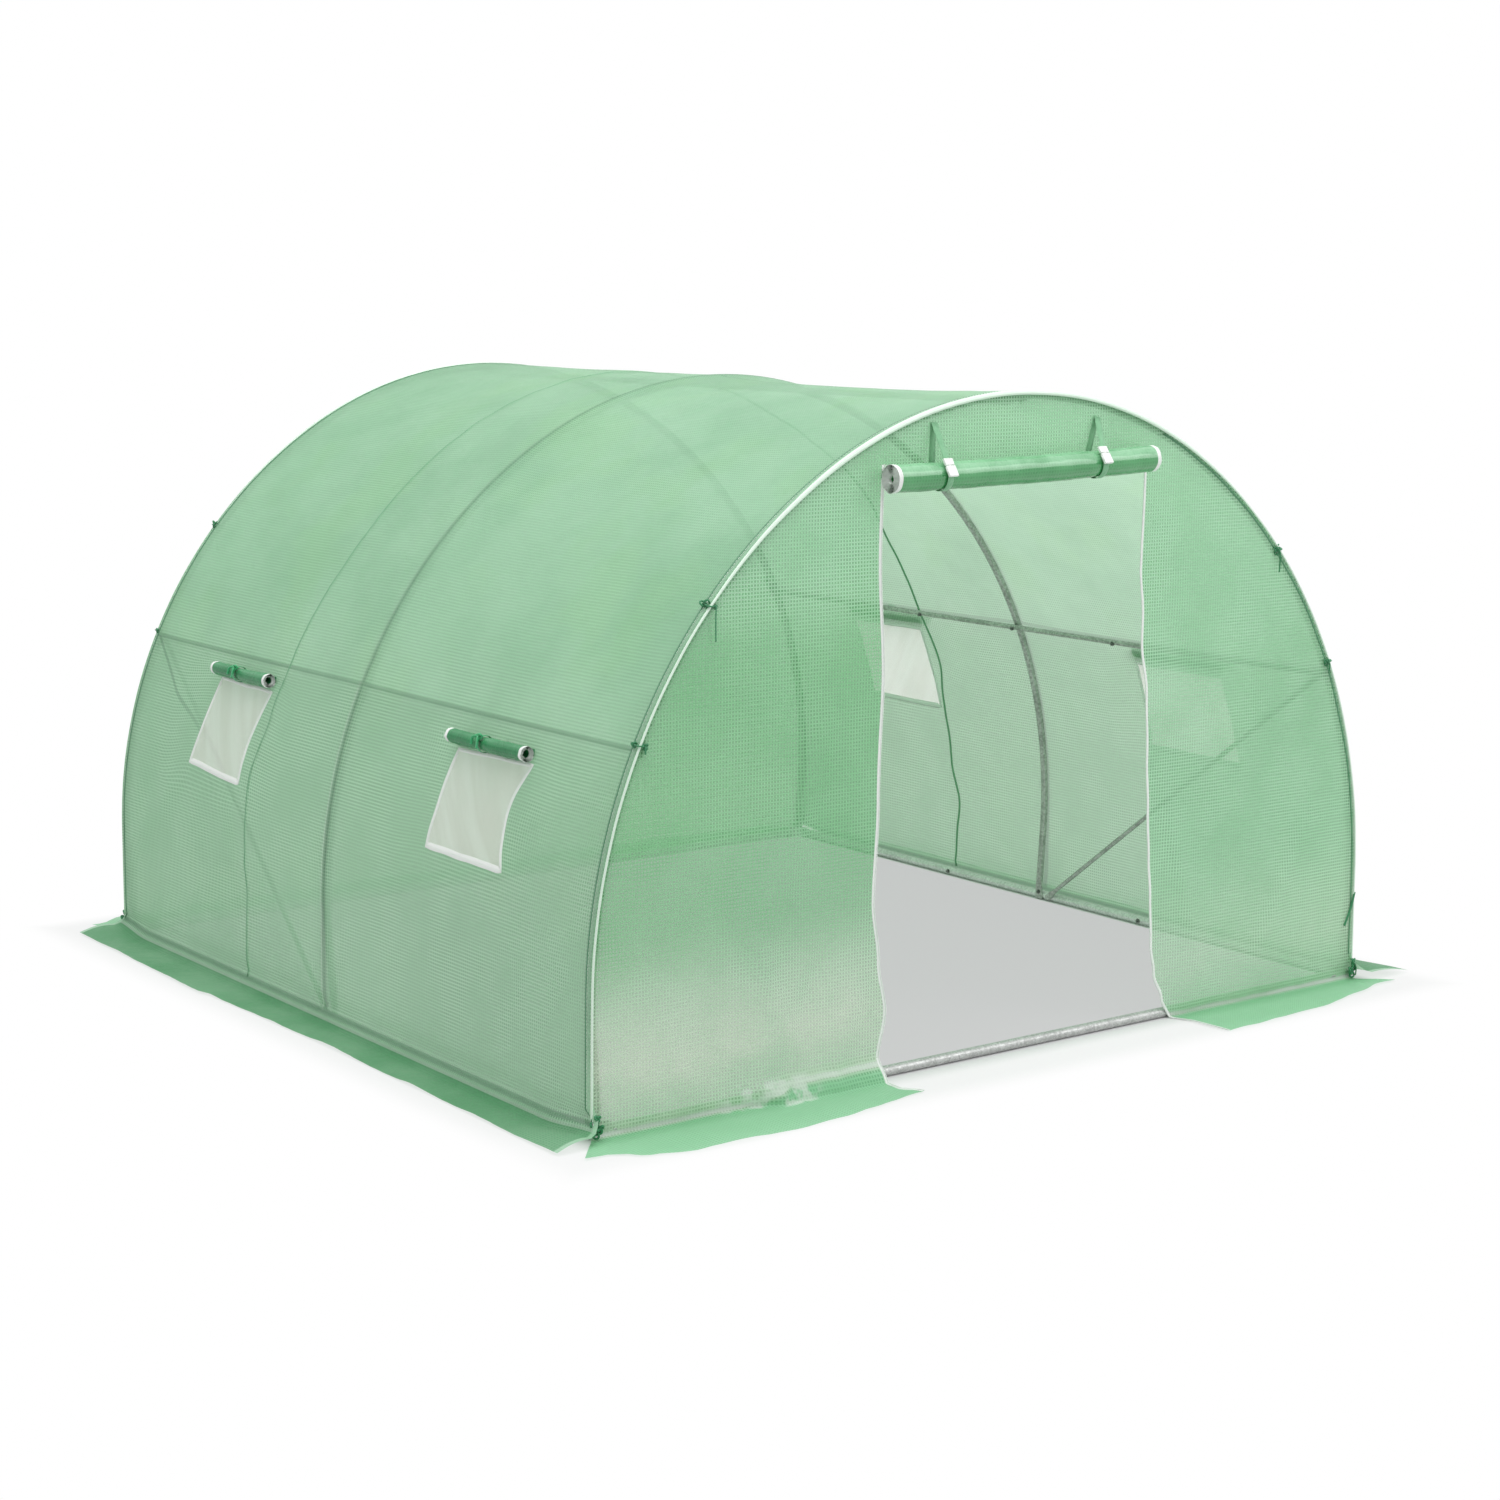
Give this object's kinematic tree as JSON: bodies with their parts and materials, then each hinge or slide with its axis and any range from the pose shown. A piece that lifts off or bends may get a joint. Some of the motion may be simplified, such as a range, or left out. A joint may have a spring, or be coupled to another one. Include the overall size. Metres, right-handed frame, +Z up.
{
  "type": "polytunnel greenhouse",
  "caption": "Walk-in polytunnel greenhouse: bent-tube hoops on a ground frame under a translucent green grid sheet, with a rolled-up door and roll-up screened windows.",
  "frame": {"origin": "middle of the ground plan, on the ground", "axes": "+Z up, -Y out of the doorway, +X to the right of someone who faces the rear from the door"},
  "size_m": [3.3936, 3.4996, 2.0003],
  "materials": {
    "galvanised_tube": "galvanised",
    "cover_sheet": "translucent grid",
    "window_mesh": "open mesh",
    "rolled_sheet": "glossy coated",
    "green_tape": "woven tape",
    "white_trim": "satin"
  },
  "bodies": {
    "root": {"front_hoop": "galvanised_tube", "mid_hoop": "galvanised_tube", "rear_hoop": "galvanised_tube", "left_purlin": "galvanised_tube", "right_purlin": "galvanised_tube", "ridge_purlin": "galvanised_tube", "left_base_rail": "galvanised_tube", "right_base_rail": "galvanised_tube", "front_base_rail": "galvanised_tube", "rear_base_rail": "galvanised_tube", "left_rear_brace": "galvanised_tube", "right_front_brace": "galvanised_tube", "left_front_wall": "cover_sheet", "left_rear_wall": "cover_sheet", "right_front_wall": "cover_sheet", "right_rear_wall": "cover_sheet", "front_roof": "cover_sheet", "rear_roof": "cover_sheet", "front_left_panel": "cover_sheet", "front_right_panel": "cover_sheet", "over_door_panel": "cover_sheet", "rear_panel": "cover_sheet", "left_front_screen": "window_mesh", "left_rear_screen": "window_mesh", "right_front_screen": "window_mesh", "right_rear_screen": "window_mesh", "left_front_flap": "rolled_sheet", "left_rear_flap": "rolled_sheet", "right_front_flap": "rolled_sheet", "right_rear_flap": "rolled_sheet", "door_roll": "rolled_sheet", "window_ties": "green_tape", "door_straps": "green_tape", "cover_ties": "green_tape", "door_zips": "white_trim", "front_piping": "white_trim", "rear_piping": "white_trim", "door_buckles": "white_trim"}
  },
  "joints": []
}
